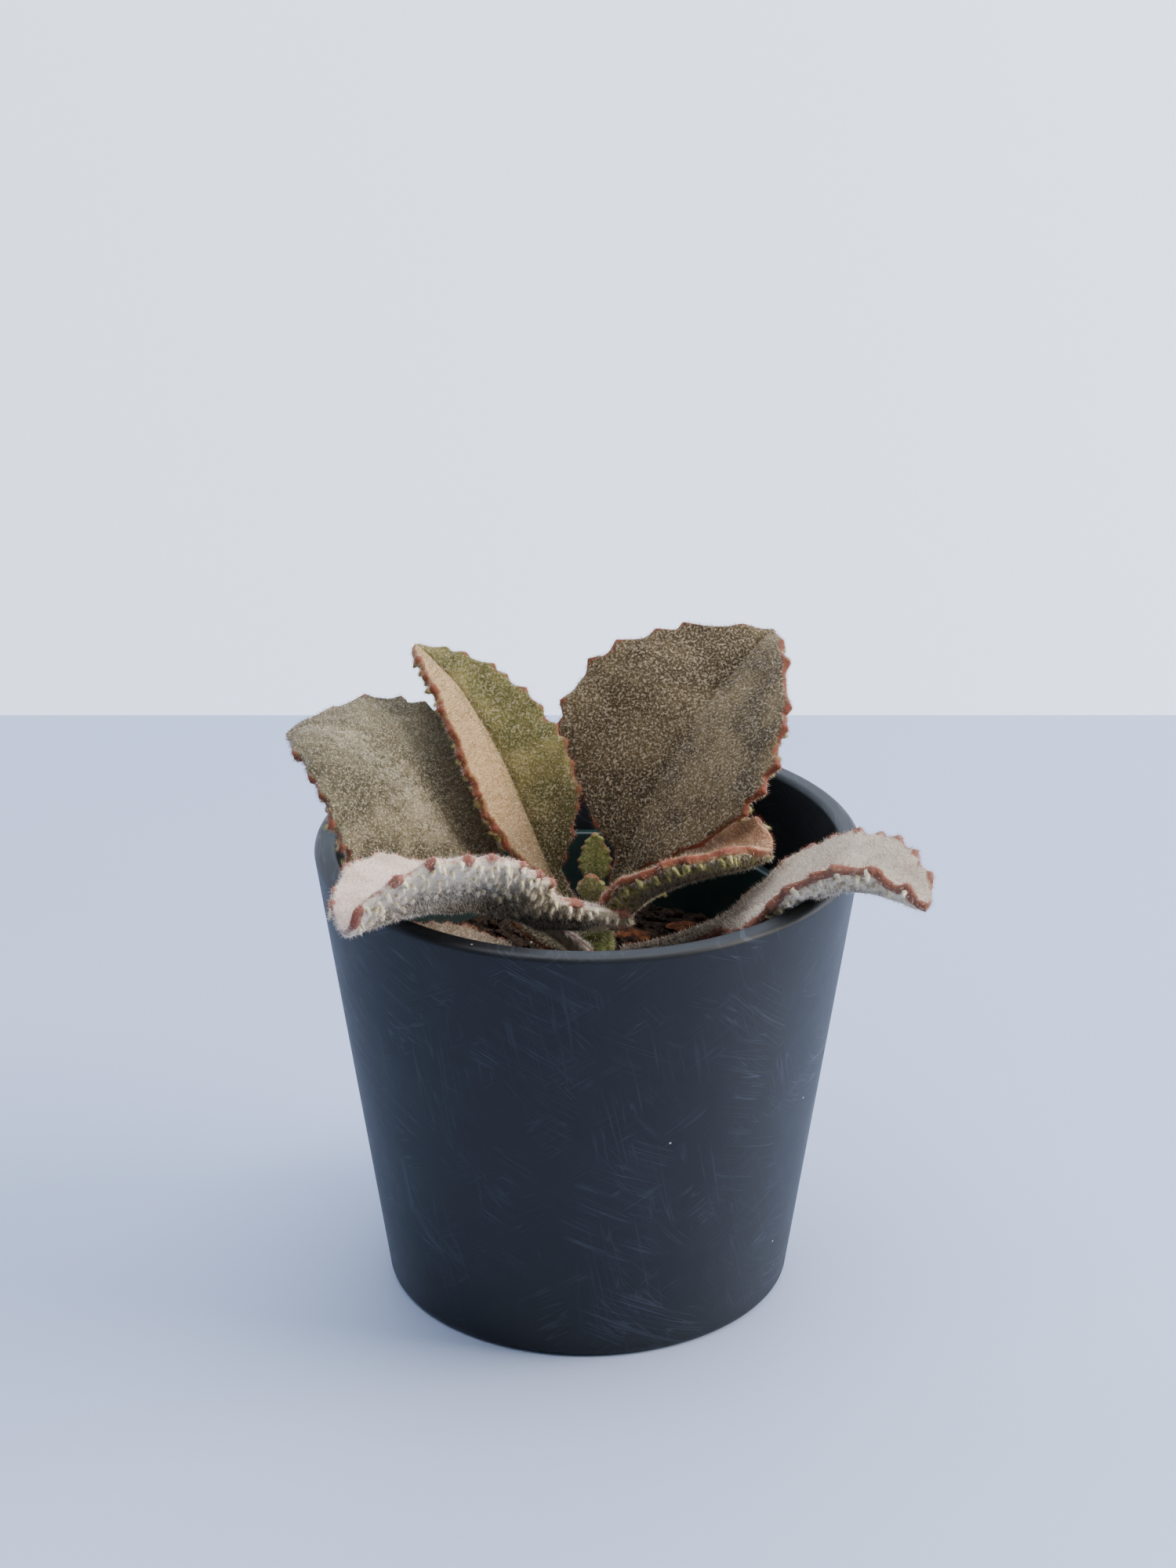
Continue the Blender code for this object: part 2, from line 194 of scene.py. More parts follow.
side, far, top = ROOM_HALF_WIDTH, WALL_DISTANCE, WALL_HEIGHT
add_stage(
    "table_top", [(-side, -side, 0), (side, -side, 0), (side, side, 0), (-side, side, 0)],
    "a3b1d0", 0.55,
)
add_stage(
    "wall", [(-side, far, 0), (side, far, 0), (side, far, top), (-side, far, top)],
    "e4eefa", 0.9, glow=WALL_GLOW, one_sided=True,
)


def add_soft_light(name, place, aim, width, height, watts, colour):
    data = bpy.data.lights.new(name, "AREA")
    data.shape = "RECTANGLE"
    data.size = width
    data.size_y = height
    data.energy = watts
    data.color = linear(colour)[:3]
    item = bpy.data.objects.new(name, data)
    item.location = place
    direction = np.array(place) - np.array(aim)
    flat = math.hypot(direction[0], direction[1])
    item.rotation_euler = (math.atan2(flat, direction[2]), 0, math.atan2(direction[0], -direction[1]))
    bpy.context.scene.collection.objects.link(item)


AIM = (0, 0, 0.1)  # metres, like the lights' places and sizes below
add_soft_light("window_right", (1.6, -0.1, 0.95), AIM, 1.1, 1.1, 64, "fffaf2")
add_soft_light("fill_front", (-1.0, -2.2, 1.5), AIM, 1.6, 1.6, 3, "dfe9ff")
add_soft_light("ceiling_panel", (0.1, 0.0, 2.1), (0, 0.1, 0), 2.4, 1.0, 56, "f2f6ff")

world = bpy.data.worlds.new("studio_air")
world.use_nodes = True
world.node_tree.nodes["Background"].inputs["Color"].default_value = linear("dfe9f5")
world.node_tree.nodes["Background"].inputs["Strength"].default_value = 0.26
bpy.context.scene.world = world


# %% [markdown]
# ## Making a mesh from arrays
# The leaves need tens of thousands of points each, worked out by formula. Numpy does the sums,
# and one function hands the arrays to Blender in bulk, which is far quicker than a Python list.

# %% Mesh helpers
def face_out(mesh):
    """Turns every face round if the closed mesh came out inside out."""
    mesh.calc_loop_triangles()
    corners = np.empty(len(mesh.loop_triangles) * 3, np.int32)
    mesh.loop_triangles.foreach_get("vertices", corners)
    places = np.empty(len(mesh.vertices) * 3, np.float32)
    mesh.vertices.foreach_get("co", places)
    a, b, c = places.reshape(-1, 3)[corners.reshape(-1, 3)].transpose(1, 0, 2)
    if np.einsum("ij,ij->i", a, np.cross(b, c)).sum() < 0:
        mesh.flip_normals()


def mesh_piece(name, points, faces, materials, kinds=None, values=None, smooth=True):
    """An object from points in mm and faces of 3 or 4 corners. values holds point attributes."""
    mesh = bpy.data.meshes.new(name)
    sizes = np.array([len(face) for face in faces]) if isinstance(faces, list) else None
    corners = np.concatenate([np.ravel(f) for f in faces]) if sizes is not None else faces.ravel()
    if sizes is None:
        sizes = np.full(len(faces), faces.shape[1])
    mesh.vertices.add(len(points))
    mesh.vertices.foreach_set("co", (np.asarray(points, np.float32) * MM).ravel())
    mesh.loops.add(len(corners))
    mesh.loops.foreach_set("vertex_index", corners.astype(np.int32))
    mesh.polygons.add(len(sizes))
    starts = np.concatenate([[0], np.cumsum(sizes)[:-1]])
    mesh.polygons.foreach_set("loop_start", starts.astype(np.int32))
    mesh.polygons.foreach_set("use_smooth", np.full(len(sizes), smooth))
    for material in materials:
        mesh.materials.append(material)
    if kinds is not None:
        mesh.polygons.foreach_set("material_index", kinds.astype(np.int32))
    for key, numbers in (values or {}).items():
        mesh.attributes.new(key, "FLOAT", "POINT").data.foreach_set(
            "value", np.asarray(numbers, np.float32).ravel()
        )
    mesh.update(calc_edges=True)
    mesh.validate()
    face_out(mesh)
    item = bpy.data.objects.new(name, mesh)
    bpy.context.scene.collection.objects.link(item)
    return item


def tube_faces(rows, around):
    """Quads of a closed tube of rings, with a triangle fan over each end's middle point."""
    i, j = np.meshgrid(np.arange(rows - 1), np.arange(around), indexing="ij")
    a = i * around + j
    b = i * around + (j + 1) % around
    sides = np.stack([a, b, b + around, a + around], -1).reshape(-1, 4)
    ring = np.arange(around)
    after = (ring + 1) % around
    first = np.stack([after, ring, np.full(around, rows * around)], -1)
    last = (rows - 1) * around
    end = np.stack([last + ring, last + after, np.full(around, rows * around + 1)], -1)
    return list(sides) + list(first) + list(end)


def adopt(piece, slot, *nodes):
    """The piece rides on the one rigid body and stands for CAD nodes. slot is not used."""
    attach(piece, "root")
    if nodes:
        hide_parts(*nodes)
    return piece


def turned_piece(name, outline, material, steps):
    """Turns (radius, height) points about Z with a Screw, like clay on a wheel."""
    mesh = bpy.data.meshes.new(name)
    points = [(radius * MM, 0, height * MM) for radius, height in outline]
    mesh.from_pydata(points, [(i, i + 1) for i in range(len(points) - 1)], [])
    mesh.materials.append(material)
    item = bpy.data.objects.new(name, mesh)
    bpy.context.scene.collection.objects.link(item)
    screw = item.modifiers.new("Turn", "SCREW")
    screw.steps = steps
    screw.render_steps = steps
    screw.use_merge_vertices = True
    screw.merge_threshold = 1e-6
    screw.use_smooth_shade = True
    return item


def arc(centre_radius, centre_height, radius, start, end, steps=8):
    angles = np.radians(np.linspace(start, end, steps + 1))
    return [
        (centre_radius + radius * math.cos(a), centre_height + radius * math.sin(a))
        for a in angles
    ]


# %% [markdown]
# ## Cover pot
# The real pot is moulded from a dark, slate-coloured plastic filled with mineral powder, so it is
# matte and feels like stone. Handling leaves fine curved scratches that look paler and bluish,
# faint cloudy scuffs and a few specks of dust. A scratch here is a contour line of a stretched
# noise: where the noise passes through one half, a thin curved line appears.

# %% Mineral-filled polypropylene
SCRATCH_WIDTH = 0.02  # share of the noise's range, which draws lines of about 0.2 mm
# Each family of hairlines: turn about Y in degrees, blob length and width in mm, and strength.
SCRATCH_FAMILIES = (
    (28, 60, 2.4, 0.9), (52, 45, 1.8, 0.7), (-35, 50, 2.6, 0.5), (80, 80, 3.2, 0.5),
)


def mineral_plastic():
    material, shader = new_finish("mineral_filled_polypropylene", "101216", 0.5, specular=0.36)
    place = add_node(material, "TexCoord").outputs["Object"]
    clouds = add_node(
        material, "TexNoise",
        {"Vector": place, "Scale": pattern_scale(38), "Detail": 5, "Roughness": 0.6},
    ).outputs["Fac"]
    scuffed = mask(material, clouds, 0.42, 0.68)
    colour = mix(material, scuffed, "0c0e12", "171a20")
    scratches = 0.0
    for turn, length, width, strength in SCRATCH_FAMILIES:
        turned = add_node(
            material, "Mapping",
            {"Vector": place, "Rotation": (0, math.radians(turn), 0),
             "Scale": (length * MM, length * MM, width * MM)},
            vector_type="TEXTURE",
        ).outputs["Vector"]
        lines = add_node(
            material, "TexNoise", {"Vector": turned, "Scale": 1.0, "Detail": 1.5, "Distortion": 0.6}
        ).outputs["Fac"]
        off_line = calculate(material, "ABSOLUTE", calculate(material, "SUBTRACT", lines, 0.5))
        hairline = mask(material, off_line, SCRATCH_WIDTH, 0.0)
        where = add_node(
            material, "TexNoise",
            {"Vector": place, "Scale": pattern_scale(17 + turn / 10), "Detail": 2},
        ).outputs["Fac"]
        patch = calculate(material, "MULTIPLY", mask(material, where, 0.48, 0.66), strength)
        scratches = calculate(
            material, "MAXIMUM", scratches, calculate(material, "MULTIPLY", hairline, patch)
        )
    colour = mix(material, calculate(material, "MULTIPLY", scratches, 0.13), colour, "687084")
    cells = add_node(
        material, "TexVoronoi", {"Vector": place, "Scale": pattern_scale(7.5)}
    )
    speck = mask(material, cells.outputs["Distance"], 0.045, 0.03)
    chosen = add_node(material, "SeparateColor", {"Color": cells.outputs["Color"]})
    rare = calculate(material, "GREATER_THAN", chosen.outputs["Red"], 0.8)
    dust = calculate(material, "MULTIPLY", speck, rare)
    colour = mix(material, calculate(material, "MULTIPLY", dust, 0.75), colour, "d5d8dd")
    link(material, colour, shader.inputs["Base Color"])
    rough = add_node(
        material, "MapRange",
        {"Value": calculate(material, "ADD", clouds, calculate(material, "MULTIPLY", scratches, -0.2)),
         "From Min": 0.3, "From Max": 0.7, "To Min": 0.44, "To Max": 0.6},
    ).outputs["Result"]
    link(material, rough, shader.inputs["Roughness"])
    grain = add_node(
        material, "TexNoise", {"Vector": place, "Scale": pattern_scale(0.8), "Detail": 3}
    ).outputs["Fac"]
    height = calculate(material, "SUBTRACT", grain, calculate(material, "MULTIPLY", scratches, 0.8))
    bump = add_node(
        material, "Bump", {"Height": height, "Distance": 0.05 * MM, "Strength": 0.5}
    )
    link(material, bump.outputs["Normal"], shader.inputs["Normal"])
    return material


# %% Cover pot
cover_high = np.array(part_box("cover_pot")[1]) / MM
POT_HEIGHT = cover_high[2]
RIM_RADIUS = cover_high[0]
BASE_RADIUS = 56.3
POT_WALL = 6.0
POT_FLOOR = 3.0
RIM_ROUNDING = 1.8
BASE_ROUNDING = 2.5


def pot_outer_radius(height):
    return BASE_RADIUS + (RIM_RADIUS - BASE_RADIUS) * height / POT_HEIGHT


inner_rim = RIM_RADIUS - POT_WALL
outline = [(0, POT_FLOOR), (pot_outer_radius(POT_FLOOR) - POT_WALL - 4, POT_FLOOR)]
outline += arc(pot_outer_radius(POT_FLOOR) - POT_WALL - 4, POT_FLOOR + 4, 4, -90, 0)
outline += arc(inner_rim + RIM_ROUNDING, POT_HEIGHT - RIM_ROUNDING, RIM_ROUNDING, 180, 90)
outline += arc(RIM_RADIUS - RIM_ROUNDING, POT_HEIGHT - RIM_ROUNDING, RIM_ROUNDING, 90, 0)
outline += arc(pot_outer_radius(BASE_ROUNDING) - BASE_ROUNDING, BASE_ROUNDING, BASE_ROUNDING, 0, -90)
outline += [(0, 0)]
cover_pot = turned_piece("cover_pot_moulding", outline, mineral_plastic(), 256)
adopt(cover_pot, "cover_plastic", "cover_pot")
print("cover pot", round(2 * RIM_RADIUS), "x", round(POT_HEIGHT), "mm")

# %% [markdown]
# ## Nursery pot
# The grower's pot is a thin vacuum-formed shell of dark teal polypropylene, with a turned-down lip
# and fine ribs that the forming leaves round its wall. It shows as a dark edge inside the cover pot.

# %% Nursery pot
NURSERY_WALL = 0.9
NURSERY_MOUTH = 59.6
NURSERY_BASE = 46.0
nursery_low, nursery_high = (np.array(corner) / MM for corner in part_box("nursery_pot"))


def nursery_radius(height):
    rise = (height - POT_FLOOR) / (nursery_high[2] - POT_FLOOR)
    return NURSERY_BASE + (NURSERY_MOUTH - NURSERY_BASE) * rise


def formed_plastic():
    material, shader = new_finish("vacuum_formed_polypropylene", "10201f", 0.38, specular=0.5)
    place = add_node(material, "TexCoord").outputs["Object"]
    streaks = add_node(
        material, "TexNoise", {"Vector": place, "Scale": pattern_scale(9), "Detail": 4}
    ).outputs["Fac"]
    link(material, mix(material, streaks, "0c1918", "16302e"), shader.inputs["Base Color"])
    rough = add_node(
        material, "MapRange", {"Value": streaks, "To Min": 0.3, "To Max": 0.5}
    ).outputs["Result"]
    link(material, rough, shader.inputs["Roughness"])
    return material


lip_top, lip_radius = nursery_high[2], nursery_high[0]
outline = [(0, nursery_low[2] + NURSERY_WALL)]
outline += [(nursery_radius(nursery_low[2]) - NURSERY_WALL, nursery_low[2] + NURSERY_WALL)]
outline += arc(NURSERY_MOUTH - NURSERY_WALL + 0.8, lip_top - 0.8, 0.8, 180, 90, 4)
outline += arc(lip_radius - 0.8, lip_top - 0.8, 0.8, 90, 0, 4)
outline += [(lip_radius, lip_top - 5.0), (lip_radius - NURSERY_WALL, lip_top - 5.0)]
outline += [(lip_radius - NURSERY_WALL, lip_top - 1.4), (NURSERY_MOUTH, lip_top - 1.4)]
outline += [(nursery_radius(nursery_low[2]), nursery_low[2]), (0, nursery_low[2])]
nursery_pot = turned_piece("nursery_pot_shell", outline, formed_plastic(), 160)
adopt(nursery_pot, "nursery_plastic", "nursery_pot")
print("nursery pot lip at", round(lip_top), "mm")

# %% [markdown]
# ## Potting soil
# Peat-based mix is dark, crumbly and full of small lumps, with pale bits of perlite and bark.
# The bed is a lumpy disc, and the loose crumbs on it are separate rough grains merged in one mesh.

# %% Soil bed
SOIL_SEED = 11
soil_low, soil_high = (np.array(corner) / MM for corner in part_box("potting_soil"))
SOIL_CROWN = soil_high[2]
SOIL_EDGE = 86.5
soil_radius = nursery_radius(SOIL_EDGE) - NURSERY_WALL - 0.3


def soil_height(x, y):
    """The bed's height in mm: a low dome with lumps of a few millimetres."""
    radius = np.hypot(x, y)
    dome = SOIL_CROWN - (SOIL_CROWN - SOIL_EDGE) * (radius / soil_radius) ** 2
    lumps = np.sin(x * 0.9 + 2 * np.sin(y * 0.35)) * np.cos(y * 0.8 + 1.5 * np.sin(x * 0.41))
    small = np.sin(x * 2.3 + y * 1.1) * np.cos(y * 2.7 - x * 0.7)
    return dome - 0.9 + 0.55 * lumps + 0.3 * small


def peat_mix():
    material, shader = new_finish("peat_potting_mix", "211913", 0.95, specular=0.2)
    place = add_node(material, "TexCoord").outputs["Object"]
    crumbs = add_node(
        material, "TexNoise", {"Vector": place, "Scale": pattern_scale(1.6), "Detail": 6}
    ).outputs["Fac"]
    link(
        material, mix(material, mask(material, crumbs, 0.35, 0.7), "130e0a", "3d2c1f"),
        shader.inputs["Base Color"],
    )
    bump = add_node(material, "Bump", {"Height": crumbs, "Distance": 0.6 * MM, "Strength": 0.9})
    link(material, bump.outputs["Normal"], shader.inputs["Normal"])
    return material


rings, spokes = 90, 180
radius_grid, angle_grid = np.meshgrid(
    soil_radius * np.linspace(1, 0.002, rings), np.linspace(0, 2 * np.pi, spokes, endpoint=False),
    indexing="ij",
)
x, y = radius_grid * np.cos(angle_grid), radius_grid * np.sin(angle_grid)
surface = np.stack([x, y, soil_height(x, y)], -1)
bottom = np.stack([x[:1] * 0.84, y[:1] * 0.84, np.full((1, spokes), soil_low[2])], -1)
bed = np.concatenate([bottom, surface]).reshape(-1, 3)
bed = np.concatenate([bed, [[0, 0, soil_low[2]], [0, 0, SOIL_CROWN - 0.9]]])
peat = peat_mix()
soil_bed = mesh_piece("soil_bed", bed, tube_faces(rings + 1, spokes), [peat])
adopt(soil_bed, "soil", "potting_soil")


# %% Loose crumbs, perlite and bark
def rough_grain(rng, size, flatness=1.0, sides=7, levels=5):
    """A closed, uneven pebble: rings of a sphere pushed in and out at random."""
    tilt = np.linspace(0, np.pi, levels + 2)[1:-1]
    turn = np.linspace(0, 2 * np.pi, sides, endpoint=False)
    push = rng.uniform(0.72, 1.2, (levels, sides))
    x = np.sin(tilt)[:, None] * np.cos(turn) * push
    y = np.sin(tilt)[:, None] * np.sin(turn) * push
    z = np.cos(tilt)[:, None] * rng.uniform(0.85, 1.1, (levels, sides)) * flatness
    poles = [[0, 0, flatness], [0, 0, -flatness]]
    points = np.concatenate([np.stack([x, y, z], -1).reshape(-1, 3), poles])
    stretch = np.array([rng.uniform(0.8, 1.5), rng.uniform(0.7, 1.1), 1.0])
    return points * stretch * size / 2


def spin(points, rng, lean=0.5):
    """Turns points about Z by a random angle, after a random lean about X."""
    a, b = rng.uniform(0, 2 * np.pi), rng.uniform(-lean, lean)
    about_x = np.array([[1, 0, 0], [0, np.cos(b), -np.sin(b)], [0, np.sin(b), np.cos(b)]])
    about_z = np.array([[np.cos(a), -np.sin(a), 0], [np.sin(a), np.cos(a), 0], [0, 0, 1]])
    return points @ (about_z @ about_x).T


def scatter_grains(name, count, sizes, material, slot, seed, nodes=()):
    rng = np.random.default_rng(seed)
    sides, levels = 7, 5
    base = np.array(tube_faces(levels, sides), dtype=object)
    all_points, all_faces, start = [], [], 0
    for _ in range(count):
        radius = (soil_radius - 2) * math.sqrt(rng.uniform(0.012, 1))
        angle = rng.uniform(0, 2 * np.pi)
        x, y = radius * math.cos(angle), radius * math.sin(angle)
        size = rng.uniform(*sizes)
        grain = spin(rough_grain(rng, size, rng.uniform(0.5, 0.9), sides, levels), rng)
        all_points.append(grain + [x, y, float(soil_height(x, y)) + size * 0.15])
        all_faces += [face + start for face in base]
        start += len(grain)
    piece = mesh_piece(name, np.concatenate(all_points), all_faces, [material], smooth=False)
    return adopt(piece, slot, *nodes)


def plain_grain(name, dark, light, size_mm, roughness=0.9):
    """Mottled, matte and dry: for perlite and for bark."""
    material, shader = new_finish(name, light, roughness, specular=0.25)
    place = add_node(material, "TexCoord").outputs["Object"]
    mottle = add_node(
        material, "TexNoise", {"Vector": place, "Scale": pattern_scale(size_mm), "Detail": 5}
    ).outputs["Fac"]
    link(
        material, mix(material, mask(material, mottle, 0.35, 0.65), dark, light),
        shader.inputs["Base Color"],
    )
    bump = add_node(material, "Bump", {"Height": mottle, "Distance": 0.3 * MM, "Strength": 0.6})
    link(material, bump.outputs["Normal"], shader.inputs["Normal"])
    return material


scatter_grains("soil_crumbs", 1100, (1.2, 4.0), peat, "soil", SOIL_SEED)
perlite = plain_grain("expanded_perlite", "8f8a80", "c9c4b8", 0.9)
scatter_grains("perlite_grains", 26, (1.2, 2.6), perlite, "soil", SOIL_SEED + 1)

bark = plain_grain("composted_pine_bark", "2e160c", "70401f", 2.2)
chip_nodes = sorted(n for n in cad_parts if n.startswith("bark_chip"))
for number, node in enumerate(chip_nodes, start=1):
    rng = np.random.default_rng(200 + number)
    low, high = (np.array(corner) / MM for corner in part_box(node))
    size = high - low
    grain = rough_grain(rng, 2.0, 1.0, 9, 5) * size / 2 * [0.95, 0.95, 0.8]
    centre = (low + high) / 2
    centre[2] = float(soil_height(*centre[:2])) + 1.6
    chip = mesh_piece(f"bark_flake_{number}", grain + centre, tube_faces(5, 9), [bark], smooth=False)
    adopt(chip, "bark", node)
print("soil with", len(chip_nodes), "bark flakes")

# %% [markdown]
# ## The leaf as a bent sheet
# A leaf is a flat outline that has been bent. Its midrib is a curve in space, given by a compass
# heading and a rise above level. Rows run out from the midrib to both margins, each half folded
# up or down and curled. Blunt teeth stand along the margins. Near the petiole the rows fan
# backwards, which makes the rounded lobes at the foot of the blade.

# %% Leaf dimensions
LEAF_THICKNESS = 2.6
TIP_HALF_WIDTH = 0.9
STEM_X = 2.0
STEM_RADIUS = 5.0
PETIOLE_CLEARANCE = 1.7
BUD_LEAF_SPREAD = 2.2
FOLD_FROM = 9.0  # where a half is narrower than this, it folds less
FOOT_SHARE = 0.11  # how soon the blade widens above its foot, as a share of its length
FOOT_POWER = 1.3  # more makes the blade's foot squarer
LOBE_SHARE = 0.13  # how soon a lobe dies away above the foot, as a share of the blade's length
LOBE_START = -3.5  # where a lobe starts to leave the petiole, from the blade's foot
LOBE_FULL = 2  # where it has its full reach
LOBE_FAN = math.radians(62)  # how far the rows at the foot of a lobed blade turn back
FULL_FAN_LOBE = 12  # a lobe at least this long turns back fully

# height: where the leaf leaves the stem. petiole, blade: lengths. left, right: half widths.
# widest: 1 puts the widest place halfway, less moves it to the base. fullness: less is fuller.
# heading: at base and tip. rise: at base, middle and tip. roll: at base and tip. left_fold,
# right_fold: at base and tip. curl, lobes: left and right. stalk: the petiole's half width.
# teeth: spacing and height.
LEAVES = {
    "leaf_back_left": dict(
        height=99, petiole=26, blade=81, left=38.5, right=26.5, widest=1.07, fullness=0.79,
        heading=(186, 167), rise=(22, 59, -34), roll=(17, 3), stalk=4,
        left_fold=(-30, 1), right_fold=(23, -7), curl=(-10, -4), lobes=(4, 4), teeth=(7, 1.9),
    ),
    "leaf_upright": dict(
        height=106, petiole=9.5, blade=78.5, left=22, right=18, widest=0.82, fullness=0.7,
        heading=(152, 140), rise=(58, 59, 19), roll=(16, -2), stalk=3.6,
        left_fold=(24, 24), right_fold=(46, 18), curl=(-3, 1), lobes=(2, 0), teeth=(5.6, 1),
    ),
    "leaf_back_right": dict(
        height=103, petiole=16, blade=81.5, left=35, right=35.5, widest=0.9, fullness=0.88,
        heading=(36, 46), rise=(86, 49, 22), roll=(-9, -5), stalk=4.3,
        left_fold=(23, 20), right_fold=(2, 20), curl=(3, -1), lobes=(0, 3), teeth=(8.6, 1.8),
    ),
    "leaf_front_left": dict(
        height=100, petiole=24.5, blade=78, left=23, right=28, widest=1.12, fullness=0.62,
        heading=(238, 220), rise=(43, 25, -7), roll=(0, -7), stalk=4.2,
        left_fold=(13, 59), right_fold=(12, 12), curl=(10, 4), lobes=(30, 6), teeth=(7.4, 1.4),
    ),
    "leaf_inner_right": dict(
        height=108, petiole=4, blade=49, left=23, right=28, widest=0.76, fullness=0.42,
        heading=(-25, -23), rise=(62, 26, 33), roll=(3, -1), stalk=3,
        left_fold=(-5, 36), right_fold=(15, 34), curl=(-3, -4), lobes=(2, 3), teeth=(6.2, 0.9),
    ),
    "leaf_front_right": dict(
        height=97, petiole=36.5, blade=73, left=23.5, right=13, widest=0.88, fullness=0.65,
        heading=(-31, -41), rise=(19, 33, -12), roll=(-15, 8), stalk=4.2,
        left_fold=(14, 30), right_fold=(-36, 82), curl=(-5, -16), lobes=(2, 1), teeth=(7.4, 1.7),
    ),
    "leaf_old_low": dict(
        height=91.5, petiole=8, blade=50, left=12, right=10, widest=0.85, fullness=0.6,
        heading=(212, 192), rise=(12, 28, 0), roll=(0, 0), stalk=3.2,
        left_fold=(20, 10), right_fold=(20, 10), curl=(0, 0), lobes=(3, 3), teeth=(6, 1.2),
    ),
    "bud_leaf_back": dict(
        height=112.8, petiole=3, blade=15, left=4.2, right=4.2, widest=0.8, fullness=0.7,
        heading=(90, 90), rise=(75, 85, 95), roll=(0, 0), stalk=1.6,
        left_fold=(25, 10), right_fold=(25, 10), curl=(0, 0), lobes=(1, 1), teeth=(2.6, 0.6),
    ),
    "bud_leaf_front": dict(
        height=113, petiole=2, blade=11, left=4, right=4, widest=0.8, fullness=0.6,
        heading=(262, 262), rise=(30, 60, 85), roll=(0, 0), stalk=1.6,
        left_fold=(35, 25), right_fold=(35, 25), curl=(0, 0), lobes=(1, 1), teeth=(2.6, 0.5),
    ),
}
BUD_LEAVES = ("bud_leaf_back", "bud_leaf_front")


# %% Leaf sheet
def through_three(first, middle, last, along):
    """A smooth value that is first at 0, middle at one half and last at 1."""
    early = first * (1 - along) * (1 - 2 * along)
    return early + middle * 4 * along * (1 - along) + last * along * (2 * along - 1)


def smooth_ramp(value, low, high):
    """0 at low, 1 at high, and an S-curve between; high may be the smaller one."""
    share = np.clip((value - low) / (high - low), 0, 1)
    return share * share * (3 - 2 * share)


def tooth_shape(blade_mm, teeth, rng):
    """Height of the toothed edge, and how near each place is to a tooth's tip, from 0 to 1."""
    spacing, height = teeth
    number = np.round(blade_mm / spacing)
    shift = rng.uniform(-0.24, 0.24, 64) * spacing
    tall = rng.uniform(0.65, 1.2, 64)
    index = np.clip(number.astype(int), 0, 63)
    away = np.abs(blade_mm - number * spacing - shift[index]) / (0.5 * spacing)
    peak = np.clip(1 - away, 0, 1) ** 2.2 * tall[index]
    swelling = 0.3 * np.cos(np.pi * np.clip(away, 0, 1))
    return height * (peak + swelling), np.exp(-((away / 0.3) ** 2)) * tall[index]


def midrib(leaf, along):
    """Places and directions along the midrib: place, forward, upward, leftward."""
    fine = np.linspace(0, 1, 401)
    length = leaf["petiole"] + leaf["blade"]
    heading = np.radians(leaf["heading"][0] + (leaf["heading"][1] - leaf["heading"][0]) * fine)
    rise = np.radians(through_three(*leaf["rise"], fine))
    roll = np.radians(leaf["roll"][0] + (leaf["roll"][1] - leaf["roll"][0]) * fine)[:, None]
    level = np.stack([np.cos(heading), np.sin(heading), np.zeros(401)], -1)
    vertical = np.array([0, 0, 1.0])
    forward = level * np.cos(rise)[:, None] + vertical * np.sin(rise)[:, None]
    flat_up = vertical * np.cos(rise)[:, None] - level * np.sin(rise)[:, None]
    flat_left = np.cross(flat_up, forward)
    upward = flat_up * np.cos(roll) + flat_left * np.sin(roll)
    leftward = flat_left * np.cos(roll) - flat_up * np.sin(roll)
    steps = (forward[1:] + forward[:-1]) / 2 * length / 400
    place = np.concatenate([np.zeros((1, 3)), np.cumsum(steps, axis=0)])
    return [
        np.stack([np.interp(along, fine, track[:, k]) for k in range(3)], -1)
        for track in (place, forward, upward, leftward)
    ]


def leaf_start(name, leaf, thickness):
    heading = math.radians(leaf["heading"][0])
    out = BUD_LEAF_SPREAD if name in BUD_LEAVES else STEM_RADIUS + PETIOLE_CLEARANCE + thickness / 2
    return np.array([STEM_X + out * math.cos(heading), out * math.sin(heading), leaf["height"]])


